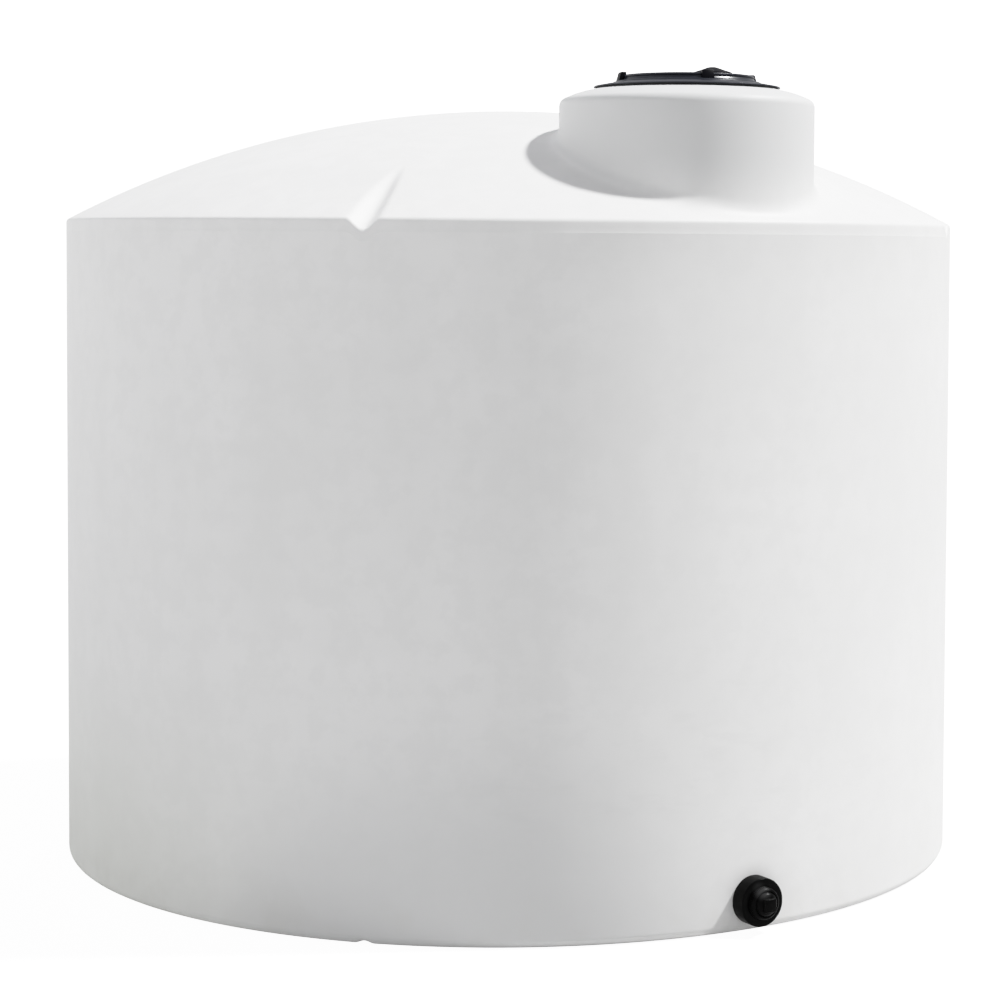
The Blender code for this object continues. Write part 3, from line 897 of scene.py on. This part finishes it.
# %% The barrel with its flange
SOLID_FACETS = 84
WALL_FACE = TANK_RADIUS * math.cos(math.pi / SOLID_FACETS)
INNER_FACE = (TANK_RADIUS - WALL) * math.cos(math.pi / SOLID_FACETS)
FLANGE_BACK = INNER_FACE - 0.0046
FLANGE_THICKNESS = 0.010
BARREL_END = WALL_FACE + 0.056


def make_barrel():
    back = FLANGE_BACK - FLANGE_THICKNESS
    bore = thread(0.0300, 0.0285, BARREL_END - 0.001, BARREL_END - 0.0310, 10)
    outside = thread(0.0354, 0.0370, WALL_FACE + 0.0405, BARREL_END - 0.0062, 4)
    outline = [
        (0.0300, back + 0.001), (0.0310, back), (0.0545, back), (0.0560, back + 0.0015),
        (0.0560, FLANGE_BACK), (0.0368, FLANGE_BACK), (0.0368, WALL_FACE + 0.0402), *outside,
        (0.0366, BARREL_END - 0.0050), (0.0352, BARREL_END - 0.0020), (0.0332, BARREL_END - 0.0004),
        (0.0318, BARREL_END), (0.0300, BARREL_END), *bore,
    ]
    barrel = finished(
        "outlet_barrel", turned(outline, 96, ALONG_OUTLET, closed=True), FITTING_BLACK, "tank",
        ["outlet_body"],
    )
    rounded_edges(barrel, 0.0003)


make_barrel()

# %% The nut
NUT_SIDES = 8
NUT_RADIUS = 0.0560
NUT_ROUNDING = 0.0190
CORNER_SHARE = 0.930
NUT_BORE = 0.0372
NUT_BACK = WALL_FACE + 0.0003
NUT_FRONT = NUT_BACK + 0.040
FRONT_RIM = 0.045


def make_nut():
    bm = bmesh.new()
    turn = Matrix.Rotation(math.pi / NUT_SIDES, 4, "Z")
    outer = bmesh.ops.create_circle(
        bm, segments=NUT_SIDES, radius=NUT_RADIUS / CORNER_SHARE, matrix=turn
    )["verts"]
    bmesh.ops.bevel(
        bm, geom=outer, offset=NUT_ROUNDING, segments=8, profile=0.5, affect="VERTICES", material=-1
    )
    count = len(bm.verts)
    rim = list(bm.edges)
    inner = bmesh.ops.create_circle(bm, segments=count, radius=NUT_BORE, matrix=turn)["verts"]
    bore = [edge for edge in bm.edges if edge.verts[0] in inner]
    washer = bmesh.ops.bridge_loops(bm, edges=rim + bore)["faces"]
    grown = bmesh.ops.extrude_face_region(bm, geom=washer, use_keep_orig=True)["geom"]
    raised = [item for item in grown if isinstance(item, bmesh.types.BMVert)]
    bmesh.ops.translate(bm, verts=raised, vec=(0, 0, NUT_FRONT - NUT_BACK))
    bmesh.ops.translate(bm, verts=bm.verts, vec=(0, 0, NUT_BACK))
    bmesh.ops.recalc_face_normals(bm, faces=bm.faces)
    front = [
        edge for edge in bm.edges
        if all(v.co.z > NUT_FRONT - 1e-4 and v.co.xy.length > FRONT_RIM for v in edge.verts)
    ]
    bmesh.ops.bevel(
        bm, geom=front, offset=0.0035, segments=4, profile=0.5, affect="EDGES", material=-1
    )
    bmesh.ops.transform(bm, matrix=ALONG_OUTLET, verts=bm.verts)
    nut = finished("outlet_nut_ring", bm, FITTING_BLACK, "tank", ["outlet_nut"])
    rounded_edges(nut, 0.0006)


make_nut()

# %% The plug
PLUG_FACE = BARREL_END + 0.003
PLUG_FOOT = BARREL_END - 0.028
PLUG_DOME_RADIUS = 0.0272
PLUG_DOME_RISE = 0.0115
PLUG_HEAD = (0.032, 0.032, 0.0160)


def make_plug():
    threaded = thread(0.0268, 0.0281, PLUG_FACE - 0.0035, BARREL_END - 0.0270, 8)
    angles = [math.radians(9.4 * i) for i in range(10)]
    dome = [
        (PLUG_DOME_RADIUS * math.sin(angle), PLUG_FACE - 0.0030 + PLUG_DOME_RISE * math.cos(angle))
        for angle in angles
    ]
    bm = turned(dome + threaded + [(0.0262, PLUG_FOOT), (0, PLUG_FOOT)], 96, ALONG_OUTLET)
    add_bar(bm, PLUG_HEAD, ALONG_OUTLET @ Matrix.Translation((0, 0, PLUG_FACE + 0.0070)), 0.95)
    plug = finished("threaded_plug", bm, FITTING_BLACK, "plug", ["outlet_plug"])
    rounded_edges(plug, 0.0003)


make_plug()

# %% [markdown]
# ## Light, sky and floor
# The photograph was taken in sunshine from the right and cut out on white. One sun with a soft
# edge stands for it. A pale studio sky lights the rest: bright at the horizon and behind on the
# left, dimmer overhead, round the photographer and on the far right. A cut-out has pure white
# round it, which no real light gives without washing out the tank. So the sky and the floor ask
# Light Path whether the ray comes straight from the camera, and only then they glow white. A
# curve over the whole picture stands for the film: it holds the highlights back.

# %% Studio
SUN_AZIMUTH = math.radians(65)
SUN_HEIGHT = math.radians(52.5)
SUN_STRENGTH = 4.5
SUN_WIDTH = math.radians(5.0)
DIM_SIDE = math.radians(-12)
BRIGHT_SIDE = math.radians(-125)
FAR_RIGHT = math.radians(82)
HORIZON = (1.26, 1.26, 1.26, 1)
OVERHEAD = (0.595, 0.60, 0.625, 1)
BACKDROP = (2.4, 2.4, 2.4, 1)
FLOOR_GREY = (0.40, 0.40, 0.40, 1)
FLOOR_GLOW = (0.14, 0.14, 0.14, 1)
FLOOR_HALF = 60
FILM_RANGE = 2.0
FILM_CURVE = [(0.225, 0.45), (0.325, 0.63), (0.425, 0.755), (0.55, 0.855), (0.75, 0.945)]


def make_sun():
    lamp = bpy.data.lights.new("sun", "SUN")
    lamp.energy = SUN_STRENGTH
    lamp.angle = SUN_WIDTH
    sun = bpy.data.objects.new("sun", lamp)
    bpy.context.scene.collection.objects.link(sun)
    source = heading(SUN_AZIMUTH) * math.cos(SUN_HEIGHT) + Vector((0, 0, math.sin(SUN_HEIGHT)))
    sun.rotation_euler = source.to_track_quat("Z", "Y").to_euler()


def seen_directly(graph):
    return graph.add("ShaderNodeLightPath", output="Is Camera Ray")


def make_sky():
    """Bright at the horizon and on the left, dimmer overhead, at the front and far right."""
    world = bpy.data.worlds.new("studio_sky")
    bpy.context.scene.world = world
    graph = Graph(world)
    way = graph.add("ShaderNodeTexCoord", output="Generated")
    height = graph.add("ShaderNodeSeparateXYZ", None, {0: way}, output="Z")
    overhead = graph.ramp(height, 0.05, 0.60)
    level = graph.mix(overhead, HORIZON, OVERHEAD)
    dim = graph.ramp(towards(graph, way, DIM_SIDE), -0.4, 0.9)
    bright = graph.ramp(towards(graph, way, BRIGHT_SIDE), 0.1, 1.0)
    duller = graph.ramp(towards(graph, way, FAR_RIGHT), 0.2, 1.0)
    share = 1 - dim * 0.48 + bright * 0.30 - duller * 0.38
    light = graph.add("ShaderNodeVectorMath", {"operation": "SCALE"}, {0: level, "Scale": share})
    graph.fill(graph.tree.nodes["Background"], {
        "Color": graph.mix(seen_directly(graph), light, BACKDROP), "Strength": 1.0,
    })


def make_floor():
    bm = bmesh.new()
    bmesh.ops.create_grid(bm, x_segments=1, y_segments=1, size=FLOOR_HALF)
    material, graph, shader = finish_of("pale_floor")
    graph.fill(shader, {
        "Base Color": FLOOR_GREY, "Roughness": 0.9, "Specular IOR Level": 0.0,
        "Emission Color": graph.mix(seen_directly(graph), FLOOR_GLOW, (1, 1, 1, 1)),
        "Emission Strength": 1.6,
    })
    ground = added("studio_floor", bm)
    ground.data.materials.append(material)


def develop():
    """A film's response: straight in the shadows, and rolled off so that sunlit white keeps form."""
    view = bpy.context.scene.view_settings
    view.view_transform = "Standard"
    view.use_curve_mapping = True
    mapping = view.curve_mapping
    mapping.white_level = (FILM_RANGE, FILM_RANGE, FILM_RANGE)
    for spot in FILM_CURVE:
        mapping.curves[3].points.new(*spot)
    mapping.update()


make_sun()
make_sky()
make_floor()
develop()
print("lamps:", len(bpy.data.lights), "and the sky:", bpy.context.scene.world.name)
